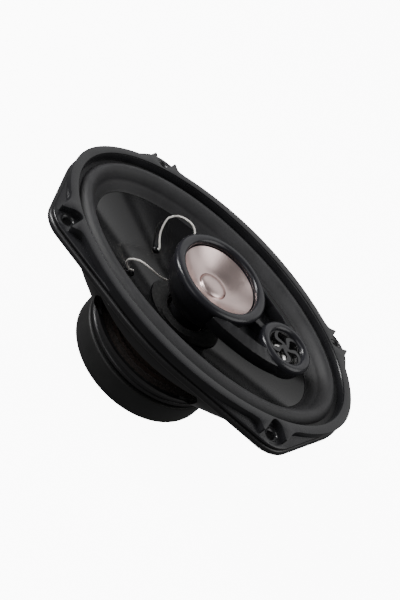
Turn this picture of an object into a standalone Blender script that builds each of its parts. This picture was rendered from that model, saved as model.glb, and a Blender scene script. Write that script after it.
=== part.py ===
"""Oval three-way coaxial car speaker, modelled in its own frame.

The origin is the centre of the magnet boot's back face. +Z points out of the
front, +X along the long axis towards the super tweeter. Sizes are written in
millimetres and turned into metres where a mesh is made.
"""
import math

import bmesh
import bpy
from mathutils import Vector

MM = 0.001
GAP = 0.3
TURN = 2 * math.pi

# Front outline: a superellipse for the lip, with four screw ears outside it.
# A screw bay's mouth leans along X by BAY_LEAN for each millimetre it goes out in Y.
LIP_LENGTH = 118.5
LIP_WIDTH = 79.6
LIP_POWER = 1.95
LIP_LAND = 6.2
SCREW_X = 85.9
SCREW_Y = 58.9
SCREW_HOLE_R = 3.0
EAR_X = 80.3
EAR_Y = 47.7
EAR_R = 20.8
# Corners of one screw bay and its two fins, in the +X +Y quarter.
BAY = [(97.4, 60.0), (86.6, 51.5), (84.6, 51.0), (82.4, 51.4), (80.8, 53.0), (80.2, 55.2), (80.4, 70.0),
       (92.0, 72.0)]
LONG_FIN = [(95.3, 46.2), (94.9, 52.0), (94.2, 57.9), (93.4, 57.9), (84.0, 53.0), (88.0, 47.0)]
SHORT_FIN = [(82.0, 54.0), (80.8, 65.0), (79.6, 65.0), (75.6, 62.6), (70.0, 63.0), (76.0, 56.0)]

# Heights of the frame.
FLANGE_BACK = 75.0
FLANGE_FRONT = 79.3
FLANGE_OUTSET = 0.8
SKIRT_FRONT = 82.0
LIP_FRONT = 86.7

# Basket.
BUCKET_LENGTH = 107.0
BUCKET_WIDTH = 70.0
BASKET_WALL = 2.2
FLARE = [(76.0, 60.5, 44.8), (98.0, 67.5, 58.0), (105.0, 69.5, 66.0)]
RING_R = 53.3
RING_BACK = 22.9
RING_FRONT = 31.0
FLOOR_FRONT = 24.9
FLOOR_HOLE_R = 24.0
LEDGE_R = 46.5
LEDGE_FRONT = 30.0
WINDOW_HALF = 44.0
WINDOW_BACK = 32.4
WINDOW_FRONT = 64.0
WINDOW_DIP = 5.5

# Woofer.
ROLL_OUTER = (108.2, 69.3)
ROLL_INNER = (97.0, 55.5)
ROLL_FOOT = 80.6
ROLL_CROWN = 84.6
ROLL_VALLEY = 78.0
CONE_EDGE = (91.1, 50.3)
CONE_EDGE_Z = 72.0
CONE_NECK_R = 15.3
CONE_NECK_Z = 50.0
CONE_FLARE = 1.25
CONE_WALL = 0.9
FORMER_R = 15.0
SPIDER_WAVES = 3

# Magnetic circuit.
BOOT_R = 53.5
BOOT_HEIGHT = 20.0
MAGNET_R = 50.0
PLATE_R = 46.0
POLE_R = 13.9
POLE_FRONT = 23.5
POLE_BORE_R = 5.0
RIVET_CIRCLE_R = 35.0

# Mid-range, super tweeter and the pod that carries them.
POD_FOOT = 65.5
MID_R = 34.6
MID_FRONT = 94.9
MID_CONE_R = 26.9
MID_CAP_R = 9.9
TWEETER_X = 59.3
TWEETER_R = 19.3
TWEETER_FRONT = 93.6
ARM_BACK = 81.8
ARM_FRONT = 91.3

# Leads and terminals.
EYELET_FAR = (-44.2, 17.2)
EYELET_NEAR = (-42.6, -21.0)
LEAD_R = 0.7
TERMINAL_X = -81.0


def ear_angles():
    """Ellipse angles for the frame's rings, closer together across the ears."""
    angles = [TURN * step / 40 for step in range(40)]
    ear = math.atan2(EAR_Y * LIP_LENGTH, EAR_X * LIP_WIDTH)
    for corner in (ear, math.pi - ear, math.pi + ear, TURN - ear):
        angles = [a for a in angles if abs(a - corner) > math.radians(12)]
        angles += [corner + math.radians(3.2) * step for step in range(-3, 4)]
    return sorted(angles)


EVEN_ANGLES = [TURN * step / 44 for step in range(44)]
EAR_ANGLES = ear_angles()


def material(name, colour, roughness, metallic=0.0):
    """A Principled material in one colour."""
    made = bpy.data.materials.new(name)
    made.use_nodes = True
    shader = made.node_tree.nodes["Principled BSDF"]
    shader.inputs["Base Color"].default_value = (*colour, 1.0)
    shader.inputs["Roughness"].default_value = roughness
    shader.inputs["Metallic"].default_value = metallic
    return made


def empty(name, x=0.0, y=0.0, z=0.0):
    """An axis marker that moving pieces are parented to."""
    marker = bpy.data.objects.new(name, None)
    marker.location = (x * MM, y * MM, z * MM)
    bpy.context.collection.objects.link(marker)
    return marker


def finish(bm, name, look=None, sharp=35.0):
    """Turn a bmesh in millimetres into a smooth-shaded object in metres."""
    bmesh.ops.remove_doubles(bm, verts=bm.verts, dist=1e-5)
    bmesh.ops.recalc_face_normals(bm, faces=bm.faces)
    bmesh.ops.scale(bm, verts=bm.verts, vec=(MM, MM, MM))
    mesh = bpy.data.meshes.new(name)
    bm.to_mesh(mesh)
    bm.free()
    mesh.shade_smooth()
    mesh.set_sharp_from_angle(angle=math.radians(sharp))
    if look:
        mesh.materials.append(look)
    made = bpy.data.objects.new(name, mesh)
    bpy.context.collection.objects.link(made)
    return made


def loft(name, rings, look=None, closed=True):
    """Skin between rings; closed joins the last to the first, open is capped."""
    bm = bmesh.new()
    loops = [[bm.verts.new(point) for point in ring] for ring in rings]
    following = loops[1:] + loops[:1] if closed else loops[1:]
    for low, high in zip(loops, following):
        for i, vert in enumerate(low):
            j = (i + 1) % len(low)
            bm.faces.new((vert, low[j], high[j], high[i]))
    if not closed:
        bm.faces.new(loops[0])
        bm.faces.new(loops[-1])
    return finish(bm, name, look)


def turned(name, profile, look=None, steps=40, x=0.0):
    """Spin an (r, z) profile about a vertical axis; one off the axis is closed."""
    bm = bmesh.new()
    verts = [bm.verts.new((x + r, 0.0, z)) for r, z in profile]
    edges = [bm.edges.new(pair) for pair in zip(verts, verts[1:])]
    if min(r for r, z in profile) > 0:
        edges.append(bm.edges.new((verts[-1], verts[0])))
    bmesh.ops.spin(bm, geom=verts + edges, cent=(x, 0.0, 0.0), axis=(0.0, 0.0, 1.0),
                   angle=TURN, steps=steps, use_merge=True)
    return finish(bm, name, look)


def prism(name, outline, low, high, look=None):
    """A flat outline in X and Y, raised from low to high."""
    return loft(name, [[(x, y, z) for x, y in outline] for z in (low, high)], look, closed=False)


def block(name, corner, opposite, look=None):
    """A box between two corners."""
    (x0, y0, z0), (x1, y1, z1) = corner, opposite
    return prism(name, [(x0, y0), (x1, y0), (x1, y1), (x0, y1)], z0, z1, look)


def carve(target, cutter, operation="DIFFERENCE"):
    """Cut a guide out of a piece, or join it on, and keep the guide hidden."""
    cutter.hide_render = True
    cutter.display_type = "WIRE"
    boolean = target.modifiers.new(cutter.name, "BOOLEAN")
    boolean.operation = operation
    boolean.solver = "EXACT"
    boolean.object = cutter


def circle(r, z, angles=EAR_ANGLES):
    """A round ring."""
    return [(r * math.cos(a), r * math.sin(a), z) for a in angles]


def round_outline(r, x=0.0, y=0.0, count=16):
    """Flat points around a small circle."""
    return [(x + px, y + py) for px, py, _ in circle(r, 0.0, [TURN * step / count for step in range(count)])]


def oval(half_length, half_width, z, power=2.0, angles=EAR_ANGLES):
    """A superellipse ring, with its points by ellipse angle."""
    ring = []
    for a in angles:
        along = math.copysign(abs(math.cos(a)) ** (2 / power), math.cos(a))
        across = math.copysign(abs(math.sin(a)) ** (2 / power), math.sin(a))
        ring.append((half_length * along, half_width * across, z))
    return ring


def lip(inset, z):
    """The lip's outline, moved in by inset."""
    return oval(LIP_LENGTH - inset, LIP_WIDTH - inset, z, LIP_POWER)


def mouth(outset, z):
    """The lip's inner edge, an ellipse, moved out by outset."""
    half_length = LIP_LENGTH - LIP_LAND + outset
    return oval(half_length, LIP_WIDTH - LIP_LAND + outset, z)


def hull(points):
    """Convex outline of flat points, counter-clockwise."""
    def half(ordered):
        chain = []
        for p in ordered:
            while len(chain) > 1:
                (ax, ay), (bx, by) = chain[-2], chain[-1]
                if (bx - ax) * (p[1] - ay) - (by - ay) * (p[0] - ax) > 0:
                    break
                chain.pop()
            chain.append(p)
        return chain[:-1]
    points = sorted(set(points))
    return half(points) + half(points[::-1])


def reach(outline, angle):
    """Distance from the middle to a convex outline along an angle."""
    c, s = math.cos(angle), math.sin(angle)
    for (ax, ay), (bx, by) in zip(outline, outline[1:] + outline[:1]):
        ex, ey = bx - ax, by - ay
        across = c * ey - s * ex
        if abs(across) < 1e-9:
            continue
        distance = (ax * ey - ay * ex) / across
        along = (ax * s - ay * c) / across
        if distance > 0 and -1e-9 <= along <= 1 + 1e-9:
            return distance
    return 0.0


def eared(inset, z):
    """The lip's outline drawn out around the four screw ears."""
    points = [(x, y) for x, y, _ in lip(inset, z)]
    for sx in (-1, 1):
        for sy in (-1, 1):
            points += round_outline(EAR_R - inset, sx * EAR_X, sy * EAR_Y, 48)
    outline = hull(points)
    ring = []
    for x, y, _ in lip(inset, z):
        away = reach(outline, math.atan2(y, x))
        ring.append((away * x / math.hypot(x, y), away * y / math.hypot(x, y), z))
    return ring


def cone_ring(share, lift=0.0):
    """The cone's front surface between neck (0) and edge (1)."""
    half_length = CONE_NECK_R + (CONE_EDGE[0] - CONE_NECK_R) * share
    half_width = CONE_NECK_R + (CONE_EDGE[1] - CONE_NECK_R) * share
    rise = (CONE_EDGE_Z - CONE_NECK_Z) * share ** CONE_FLARE
    return oval(half_length, half_width, CONE_NECK_Z + rise + lift, 2.0, EVEN_ANGLES)


def cone_height(x, y):
    """Height of the cone's front surface over a point."""
    low, high = 0.0, 1.0
    for _ in range(40):
        share = (low + high) / 2
        half_length = CONE_NECK_R + (CONE_EDGE[0] - CONE_NECK_R) * share
        half_width = CONE_NECK_R + (CONE_EDGE[1] - CONE_NECK_R) * share
        if (x / half_length) ** 2 + (y / half_width) ** 2 > 1:
            low = share
        else:
            high = share
    return CONE_NECK_Z + (CONE_EDGE_Z - CONE_NECK_Z) * low ** CONE_FLARE


def cone_normal(x, y):
    """Unit normal of the cone's front surface."""
    step = 0.5
    slope_x = (cone_height(x + step, y) - cone_height(x - step, y)) / (2 * step)
    slope_y = (cone_height(x, y + step) - cone_height(x, y - step)) / (2 * step)
    return Vector((-slope_x, -slope_y, 1.0)).normalized()


def screw_cutter(name, radius, low, high, sx, sy):
    """A round cutter on one screw's axis."""
    return prism(name, round_outline(radius, sx * SCREW_X, sy * SCREW_Y), low, high)


def add_basket(look):
    """Oval frame: floor ring, spider ledge, flared wall, bucket and flange."""
    wall = BASKET_WALL
    rings = [circle(FLOOR_HOLE_R, RING_BACK), circle(RING_R - 1.0, RING_BACK),
             circle(RING_R, RING_BACK + 1.0), circle(RING_R, RING_FRONT)]
    rings += [oval(a, b, z) for a, b, z in FLARE]
    rings += [oval(BUCKET_LENGTH, BUCKET_WIDTH, FLANGE_BACK), eared(-FLANGE_OUTSET, FLANGE_BACK),
              eared(-FLANGE_OUTSET, FLANGE_FRONT - 0.8), eared(0.0, FLANGE_FRONT),
              oval(BUCKET_LENGTH - wall, BUCKET_WIDTH - wall, FLANGE_FRONT)]
    rings += [oval(a - wall, b - wall, z + 0.4) for a, b, z in reversed(FLARE)]
    rings += [circle(RING_R - wall, RING_FRONT + 0.6), circle(RING_R - wall, LEDGE_FRONT),
              circle(LEDGE_R, LEDGE_FRONT), circle(LEDGE_R, FLOOR_FRONT),
              circle(FLOOR_HOLE_R, FLOOR_FRONT)]
    basket = loft("basket", rings, look)
    for side in (-1, 1):
        carve(basket, window_cutter(side))
    for sx in (-1, 1):
        for sy in (-1, 1):
            name = f"cut_basket_screw_{sx}_{sy}"
            carve(basket, screw_cutter(name, SCREW_HOLE_R, FLANGE_BACK - 2, FLANGE_FRONT + 2, sx, sy))
    slot = block("cut_lead_slot", (TERMINAL_X - 4, -7, 36), (TERMINAL_X + 4, 7, 60))
    carve(basket, slot)
    for number, (x, y) in enumerate(rivet_places(), 1):
        hole = round_outline(2.1, x, y, 12)
        carve(basket, prism(f"cut_floor_rivet_{number}", hole, RING_BACK - 1, FLOOR_FRONT + 1))
    return basket


def window_cutter(side):
    """One long-side window, with its front edge dipping in the middle."""
    half = WINDOW_HALF
    edge = [(half - 7, WINDOW_BACK), (half - 3, WINDOW_BACK + 3), (half, WINDOW_FRONT - 4)]
    for step in range(9):
        x = (half - 3) * (1 - step / 4)
        edge.append((x, WINDOW_FRONT - WINDOW_DIP * (1 - (x / (half - 3)) ** 2)))
    edge += [(-half, WINDOW_FRONT - 4), (3 - half, WINDOW_BACK + 3), (7 - half, WINDOW_BACK)]
    near, far = side * 26.0, side * 90.0
    return loft(f"cut_window_{side}", [[(x, y, z) for x, z in edge] for y in (near, far)],
                closed=False)


def rivet_places():
    """Four rivets on the diagonals of the basket floor."""
    angles = [math.pi / 4 + quarter * math.pi / 2 for quarter in range(4)]
    return [(RIVET_CIRCLE_R * math.cos(a), RIVET_CIRCLE_R * math.sin(a)) for a in angles]


def add_trim_ring(look):
    """Skirt over the ears, upright lip, screw bays and pointed fins."""
    foot = FLANGE_FRONT + GAP
    rings = [eared(0.4, foot), eared(0.4, SKIRT_FRONT - 0.6), eared(1.0, SKIRT_FRONT),
             lip(1.2, SKIRT_FRONT), lip(0.0, LIP_FRONT - 1.6), lip(0.5, LIP_FRONT - 0.3),
             lip(1.4, LIP_FRONT), mouth(0.6, LIP_FRONT), mouth(0.0, LIP_FRONT - 0.8),
             mouth(-1.2, 82.0), mouth(-1.6, foot + 1.5), mouth(0.4, foot + 1.5), mouth(0.4, foot)]
    trim = loft("trim_ring", rings, look)
    for sx in (-1, 1):
        for sy in (-1, 1):
            for name, corners in (("long", LONG_FIN), ("short", SHORT_FIN)):
                fin = corner_prism(f"join_{name}_fin_{sx}_{sy}", corners, sx, sy, SKIRT_FRONT - 1.0, LIP_FRONT - 0.4)
                carve(trim, fin, "UNION")
            carve(trim, corner_prism(f"cut_bay_{sx}_{sy}", BAY, sx, sy, SKIRT_FRONT - 0.6, LIP_FRONT + 1.0))
            name = f"cut_trim_screw_{sx}_{sy}"
            carve(trim, screw_cutter(name, SCREW_HOLE_R, foot - 2, SKIRT_FRONT, sx, sy))
    return trim


def corner_prism(name, corners, sx, sy, low, high):
    """A straight-sided solid drawn in the +X +Y quarter and mirrored to another one."""
    return prism(name, [(sx * x, sy * y) for x, y in corners], low, high)


def add_surround(look):
    """Flat rim under the trim ring, half roll, and skirt down to the cone."""
    rim = (LIP_LENGTH - LIP_LAND - 0.2, LIP_WIDTH - LIP_LAND - 0.2)
    thick = 0.9
    foot = FLANGE_FRONT + GAP
    rise = ROLL_CROWN - (ROLL_FOOT + ROLL_VALLEY) / 2

    def ring(half_length, half_width, z):
        return oval(half_length, half_width, z, 2.0, EVEN_ANGLES)

    def roll(lift):
        rings = []
        for step in range(8):
            share = step / 7
            a = ROLL_OUTER[0] + (ROLL_INNER[0] - ROLL_OUTER[0]) * share
            b = ROLL_OUTER[1] + (ROLL_INNER[1] - ROLL_OUTER[1]) * share
            base = ROLL_FOOT + (ROLL_VALLEY - ROLL_FOOT) * share
            crown = rise * math.sin(math.pi * share) ** 0.8
            rings.append(ring(a, b, base + crown + lift))
        return rings

    skirt = (CONE_EDGE[0] + GAP, CONE_EDGE[1] + GAP)
    rings = [ring(*rim, foot + thick)] + roll(0.0) + [ring(*skirt, CONE_EDGE_Z + 0.3)]
    rings += [ring(*skirt, CONE_EDGE_Z - thick)] + roll(-thick - 0.1)[::-1] + [ring(*rim, foot)]
    return loft("surround", rings, look)


def add_woofer(looks, cone_axis):
    """Cone, dust collar, former and coil, all carried by the woofer's axis."""
    shares = (0.0, 0.12, 0.3, 0.52, 0.76, 1.0)
    rings = [cone_ring(share) for share in shares]
    rings += [cone_ring(share, -CONE_WALL) for share in reversed(shares)]
    cone = loft("cone", rings, looks["cone"])
    for name, place in (("far", EYELET_FAR), ("near", EYELET_NEAR)):
        carve(cone, eyelet_body(f"cut_eyelet_{name}", place, [(0.0, -3.0), (1.4, -3.0), (1.4, 3.0), (0.0, 3.0)]))
    collar = loft("dust_collar",
                  [cone_ring(0.17, 0.35), cone_ring(0.17, 1.3)]
                  + [circle(r, z, EVEN_ANGLES) for r, z in ((21.0, 56.2), (17.0, 56.3), (15.6, 55.6),
                                                            (15.6, 54.9), (20.0, 54.9))],
                  looks["collar"])
    former = turned("voice_coil_former",
                    [(FORMER_R - 0.5, 16.0), (FORMER_R, 16.0), (FORMER_R, 51.6), (FORMER_R - 0.5, 51.6)],
                    looks["former"], 40)
    coil = turned("voice_coil", [(FORMER_R + GAP, 15.6), (16.1, 15.6), (16.1, 24.6), (FORMER_R + GAP, 24.6)],
                  looks["copper"], 40)
    pieces = [cone, collar, former, coil]
    for name, place in (("far", EYELET_FAR), ("near", EYELET_NEAR)):
        profile = [(0.0, -2.6), (2.2, -2.6), (2.2, -CONE_WALL - GAP), (1.1, -CONE_WALL - GAP),
                   (1.1, GAP), (2.2, GAP), (2.2, 1.0), (0.0, 1.4)]
        pieces.append(eyelet_body(f"eyelet_{name}", place, profile, looks["silver"]))
    for piece in pieces:
        piece.parent = cone_axis


def eyelet_body(name, place, profile, look=None):
    """A small turned shape standing square to the cone at an eyelet."""
    x, y = place
    turn = Vector((0.0, 0.0, 1.0)).rotation_difference(cone_normal(x, y))
    foot = Vector((x, y, cone_height(x, y)))
    bm = bmesh.new()
    verts = [bm.verts.new((r, 0.0, z)) for r, z in profile]
    edges = [bm.edges.new(pair) for pair in zip(verts, verts[1:])]
    bmesh.ops.spin(bm, geom=verts + edges, cent=(0.0, 0.0, 0.0), axis=(0.0, 0.0, 1.0),
                   angle=TURN, steps=12, use_merge=True)
    for vert in bm.verts:
        vert.co = foot + turn @ vert.co
    return finish(bm, name, look)


def add_spider(look):
    """Corrugated disc from the voice coil former to the basket's ledge."""
    inner, outer, rim = FORMER_R + GAP, 46.0, RING_R - BASKET_WALL - GAP
    level = LEDGE_FRONT + GAP
    wave = []
    for step in range(4 * SPIDER_WAVES + 1):
        share = step / (4 * SPIDER_WAVES)
        height = 1.3 * math.sin(TURN * SPIDER_WAVES * share)
        wave.append((inner + 1.2 + (outer - inner - 1.2) * share, level + height + 0.8))
    top = [(inner, level + 2.0)] + wave + [(rim, level + 0.8)]
    bottom = [(rim, level)] + [(r, z - 0.8) for r, z in reversed(wave)] + [(inner, level - 0.8)]
    return turned("spider", top + bottom, look, 28)


def add_motor(looks):
    """Back plate with pole, magnet, top plate, rivets and the boot around them."""
    turned("back_plate", [(POLE_BORE_R, 2.2), (42.5, 2.2), (44.0, 3.7), (44.0, 7.2), (POLE_R, 7.2),
                          (POLE_R, POLE_FRONT), (POLE_BORE_R, POLE_FRONT)], looks["steel"])
    turned("magnet_ring", [(22.0, 7.5), (MAGNET_R, 7.5), (MAGNET_R, 17.3), (22.0, 17.3)],
           looks["ferrite"])
    top = turned("top_plate", [(16.6, 17.6), (PLATE_R, 17.6), (PLATE_R, 22.6), (16.6, 22.6)],
                 looks["steel"])
    for number, (x, y) in enumerate(rivet_places(), 1):
        carve(top, prism(f"cut_plate_rivet_{number}", round_outline(2.1, x, y, 12), 17.0, 24.0))
        rivet = turned(f"plate_rivet_{number}", [(0.0, 18.2), (1.8, 18.2), (1.8, 25.2), (3.4, 25.2),
                                                 (2.8, 26.4), (0.0, 26.8)], looks["silver"], 12)
        rivet.location = (x * MM, y * MM, 0.0)
    lip_r = BOOT_R - 2.4
    turned("magnet_boot", [(9.0, 0.0), (BOOT_R - 3.5, 0.0), (BOOT_R - 1.0, 1.0), (BOOT_R, 3.5),
                           (BOOT_R, BOOT_HEIGHT - 4.0), (BOOT_R - 1.0, BOOT_HEIGHT - 1.2),
                           (lip_r, BOOT_HEIGHT), (MAGNET_R - 1.0, BOOT_HEIGHT),
                           (MAGNET_R - 1.0, BOOT_HEIGHT - 1.6), (MAGNET_R + 0.6, BOOT_HEIGHT - 2.4),
                           (MAGNET_R + 0.6, 1.9), (9.0, 1.9)], looks["boot"], 44)


def add_post(looks):
    """Sleeve from the pole to the pod, with the bolt and nut that clamp it."""
    turned("pod_post", [(3.0, POLE_FRONT + GAP), (12.0, POLE_FRONT + GAP), (12.0, POD_FOOT - GAP),
                        (3.0, POD_FOOT - GAP)], looks["post"], 32)
    turned("post_bolt", [(0.0, 0.4), (6.6, 0.4), (7.2, 1.0), (7.2, 1.9), (1.9, 1.9), (1.9, 71.6),
                         (0.0, 71.6)], looks["silver"], 24)
    turned("post_nut", [(2.5, 67.6), (4.6, 67.6), (4.6, 71.0), (2.5, 71.0)], looks["silver"], 6)


def arm_outline():
    """Boat-shaped outline from the mid-range cup to the tweeter cup."""
    start, end = MID_R - 1.2, TWEETER_R - 0.9
    lean = math.asin((start - end) / TWEETER_X)
    side = []
    for step in range(9):
        share = step / 8
        x = start * math.sin(lean) + share * (TWEETER_X + (end - start) * math.sin(lean))
        y = start * math.cos(lean) + share * (end - start) * math.cos(lean)
        side.append((x, y + 2.6 * math.sin(math.pi * share)))
    nose = []
    for step in range(1, 12):
        a = (math.pi / 2 - lean) * (1 - step / 6)
        nose.append((TWEETER_X + end * math.cos(a), end * math.sin(a)))
    heel = []
    for step in range(1, 16):
        a = math.pi / 2 - lean + (math.pi + 2 * lean) * step / 16
        heel.append((start * math.cos(a), start * math.sin(a)))
    lower = [(x, -y) for x, y in reversed(side)]
    return (side + nose + lower)[::-1] + heel


def add_pod(looks):
    """One moulding: mid-range cup, bridge arm with two pockets, tweeter cup."""
    pod = turned("pod_housing", [(0.0, POD_FOOT), (20.0, POD_FOOT), (21.5, POD_FOOT + 1.0), (25.0, 70.0),
                                 (31.5, 79.5), (32.6, 86.0), (32.6, 90.4), (0.0, 90.4)],
                 looks["pod"], 40)
    arm = prism("join_arm", arm_outline(), ARM_BACK, ARM_FRONT)
    nose = turned("join_nose", [(0.0, 79.8), (15.6, 79.8), (17.6, 81.6), (18.2, 88.8), (0.0, 88.8)],
                  None, 32, TWEETER_X)
    carve(pod, arm, "UNION")
    carve(pod, nose, "UNION")
    cup = turned("cut_mid_cup", [(0.0, 67.2), (17.5, 67.2), (22.2, 70.8), (28.8, 80.0), (30.4, 86.0),
                                 (30.4, 96.0), (0.0, 96.0)], None, 40)
    seat = turned("cut_mid_seat", [(0.0, 90.4), (MID_R + GAP, 90.4), (MID_R + GAP, 98.0), (0.0, 98.0)],
                  None, 40)
    well = turned("cut_tweeter_cup", [(0.0, 81.6), (15.4, 81.6), (15.4, 96.0), (0.0, 96.0)],
                  None, 32, TWEETER_X)
    shelf = turned("cut_tweeter_seat", [(0.0, 88.8), (TWEETER_R + GAP, 88.8), (TWEETER_R + GAP, 98.0),
                                        (0.0, 98.0)], None, 32, TWEETER_X)
    bore = turned("cut_post_bore", [(0.0, 60.0), (2.5, 60.0), (2.5, 70.0), (0.0, 70.0)], None, 16)
    for cutter in (cup, seat, well, shelf, bore):
        carve(pod, cutter)
    for side in (-1, 1):
        carve(pod, prism(f"cut_pocket_{side}", pocket_outline(side), ARM_BACK + 1.6, 98.0))
    return pod


def pocket_outline(side):
    """One recess of the arm, between the two cups, a rail and the middle rib."""
    outline = []
    for step in range(7):
        a = math.radians(6.3 + 36.5 * step / 6)
        outline.append(((MID_R + 1.8) * math.cos(a), side * (MID_R + 1.8) * math.sin(a)))
    for step in range(6):
        a = math.radians(122.9 + 46.0 * step / 5)
        r = TWEETER_R + 1.5
        outline.append((TWEETER_X + r * math.cos(a), side * r * math.sin(a)))
    return outline[::side]


def rounded_ring(name, inner, outer, back, front, look, steps, x=0.0):
    """A bezel: flat back, round front and a step down to the inner edge."""
    profile = [(inner, back), (outer, back), (outer, front - 3.2)]
    span = outer - inner - 1.2
    for step in range(1, 6):
        a = math.pi * step / 6
        profile.append((outer - span * (1 - math.cos(a)) / 2, front - 3.2 + 3.2 * math.sin(a)))
    profile += [(inner + 1.2, front - 3.0), (inner, front - 3.4)]
    return turned(name, profile, look, steps, x)


def add_mid_range(looks, axis):
    """Bezel, surround, pink cone and cap, and the small motor behind them."""
    rounded_ring("mid_bezel", MID_CONE_R + 0.6, MID_R, 90.7, MID_FRONT, looks["bezel"], 36)
    turned("mid_surround", [(MID_CONE_R + GAP, 89.6), (MID_CONE_R + 1.8, 88.9), (30.1, 89.6),
                            (30.1, 90.3), (MID_CONE_R + 1.8, 89.6), (MID_CONE_R + GAP, 90.3)],
           looks["rubber"], 40)
    cone = turned("mid_cone", [(MID_CAP_R + GAP, 82.6), (16.0, 84.3), (22.0, 87.2), (MID_CONE_R, 90.0),
                               (MID_CONE_R, 90.8), (22.0, 88.0), (16.0, 85.1), (MID_CAP_R + GAP, 83.4)],
                  looks["pink"], 40)
    cap = turned("mid_cap", [(0.0, 86.0), (4.0, 85.7), (7.0, 84.8), (MID_CAP_R, 83.2), (MID_CAP_R, 82.5),
                             (7.4, 82.5), (6.4, 83.9), (3.6, 84.9), (0.0, 85.2)][::-1], looks["pink"], 24)
    coil = turned("mid_voice_coil", [(9.1, 76.0), (9.8, 76.0), (9.8, 82.2), (9.1, 82.2)],
                  looks["copper"], 24)
    for piece in (cone, cap, coil):
        piece.parent = axis
    turned("mid_yoke", [(2.6, 71.4), (13.0, 71.4), (13.0, 79.6), (10.9, 79.6), (10.9, 73.0), (2.6, 73.0)],
           looks["steel"], 24)
    turned("mid_magnet", [(2.6, 73.3), (7.8, 73.3), (7.8, 76.3), (2.6, 76.3)], looks["ferrite"], 24)
    turned("mid_top_plate", [(0.0, 76.6), (8.7, 76.6), (8.7, 79.6), (0.0, 79.6)], looks["steel"], 24)


def add_tweeter(looks, axis):
    """Bezel, spoked grille, dome and the small motor behind them."""
    x = TWEETER_X
    rounded_ring("tweeter_bezel", 13.6, TWEETER_R, 89.1, TWEETER_FRONT, looks["bezel"], 30, x)
    add_grille(looks["grille"])
    dome = turned("tweeter_dome", [(0.0, 88.3), (3.2, 87.9), (5.6, 86.9), (7.4, 85.3), (10.6, 85.3),
                                   (10.6, 84.8), (7.2, 84.8), (5.3, 86.4), (3.0, 87.4), (0.0, 87.8)][::-1],
                  looks["silver"], 24, x)
    coil = turned("tweeter_voice_coil", [(6.4, 83.0), (6.9, 83.0), (6.9, 84.5), (6.4, 84.5)],
                  looks["copper"], 24, x)
    for piece in (dome, coil):
        piece.parent = axis
        piece.location = (-x * MM, 0.0, 0.0)
    turned("tweeter_yoke", [(0.0, 82.0), (15.0, 82.0), (15.0, 84.5), (13.0, 84.5), (7.4, 84.5), (7.4, 82.7),
                            (0.0, 82.7)], looks["steel"], 24, x)
    turned("tweeter_magnet", [(0.0, 83.0), (5.8, 83.0), (5.8, 84.3), (0.0, 84.3)], looks["ferrite"], 24, x)
    turned("tweeter_top_plate", [(0.0, 84.6), (5.4, 84.6), (4.8, 85.4), (0.0, 85.4)], looks["steel"], 24, x)


def add_grille(look):
    """Rim and hub joined by five curved spokes."""
    grille = turned("tweeter_grille", [(12.3, 89.2), (13.3, 89.2), (13.3, 90.6), (12.3, 90.6)], look, 30,
                    TWEETER_X)
    hub = turned("join_hub", [(0.0, 89.2), (3.0, 89.2), (3.0, 90.6), (0.0, 90.6)], None, 15, TWEETER_X)
    carve(grille, hub, "UNION")
    for spoke in range(5):
        edges = []
        for width in (-0.8, 0.8):
            edge = []
            for step in range(6):
                r = 2.4 + 10.5 * step / 5
                a = TURN * spoke / 5 + 0.55 * math.sin(math.pi * step / 5) + width / r
                edge.append((TWEETER_X + r * math.cos(a), r * math.sin(a)))
            edges.append(edge)
        outline = edges[0] + edges[1][::-1]
        carve(grille, prism(f"join_spoke_{spoke}", outline, 89.3, 90.5), "UNION")
    return grille


def smooth_route(points, pieces):
    """Points along a Catmull-Rom curve through the given ones."""
    ends = [points[0]] + points + [points[-1]]
    route = []
    for p0, p1, p2, p3 in zip(ends, ends[1:], ends[2:], ends[3:]):
        p0, p1, p2, p3 = (Vector(p) for p in (p0, p1, p2, p3))
        for step in range(pieces):
            t = step / pieces
            route.append(0.5 * ((2 * p1) + (p2 - p0) * t + (2 * p0 - 5 * p1 + 4 * p2 - p3) * t ** 2
                                + (3 * p1 - p0 - 3 * p2 + p3) * t ** 3))
    route.append(Vector(points[-1]))
    return route


def lead(name, points, look):
    """A flexible lead along its own route."""
    curve = bpy.data.curves.new(name, "CURVE")
    curve.dimensions = "3D"
    curve.bevel_depth = LEAD_R * MM
    curve.bevel_resolution = 2
    curve.use_fill_caps = True
    route = smooth_route(points, 2)
    spline = curve.splines.new("POLY")
    spline.points.add(len(route) - 1)
    for point, place in zip(spline.points, route):
        point.co = (*(place * MM), 1.0)
    curve.materials.append(look)
    made = bpy.data.objects.new(name, curve)
    bpy.context.collection.objects.link(made)
    return made


def off_cone(place, height):
    """A point that far off the cone's front surface, along its normal."""
    x, y = place
    foot = Vector((x, y, cone_height(x, y)))
    return tuple(foot + cone_normal(x, y) * height)


def add_leads(look):
    """Two loops from the cone to the pod, and two leads behind the cone."""
    lead("front_lead_far", [off_cone(EYELET_FAR, 2.0), off_cone(EYELET_FAR, 3.8), (-50.2, 23.2, 66.2),
                            (-54.0, 30.0, 72.6), (-53.1, 32.6, 76.0), (-49.5, 35.0, 79.3),
                            (-41.8, 32.5, 83.6), (-34.6, 30.0, 82.6), (-28.0, 22.0, 76.5),
                            (-22.8, 13.6, 70.6)], look)
    lead("front_lead_near", [off_cone(EYELET_NEAR, 2.2), (-44.6, -24.2, 63.2), (-47.4, -28.4, 68.4),
                             (-46.6, -34.0, 76.6), (-41.4, -33.0, 80.4), (-34.3, -30.0, 79.9),
                             (-27.4, -22.4, 75.0), (-22.8, -13.6, 70.6)], look)
    for name, place, side in (("far", EYELET_FAR, 3.0), ("near", EYELET_NEAR, -3.0)):
        end = Vector(off_cone(place, -3.4))
        lead(f"rear_lead_{name}", [(TERMINAL_X, side, 47.6), (TERMINAL_X + 6, side, 50.5),
                                   (TERMINAL_X + 17, side * 2.2, 50.0),
                                   (end.x - 7, end.y - side * 0.9, 50.6), tuple(end)], look)


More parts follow.
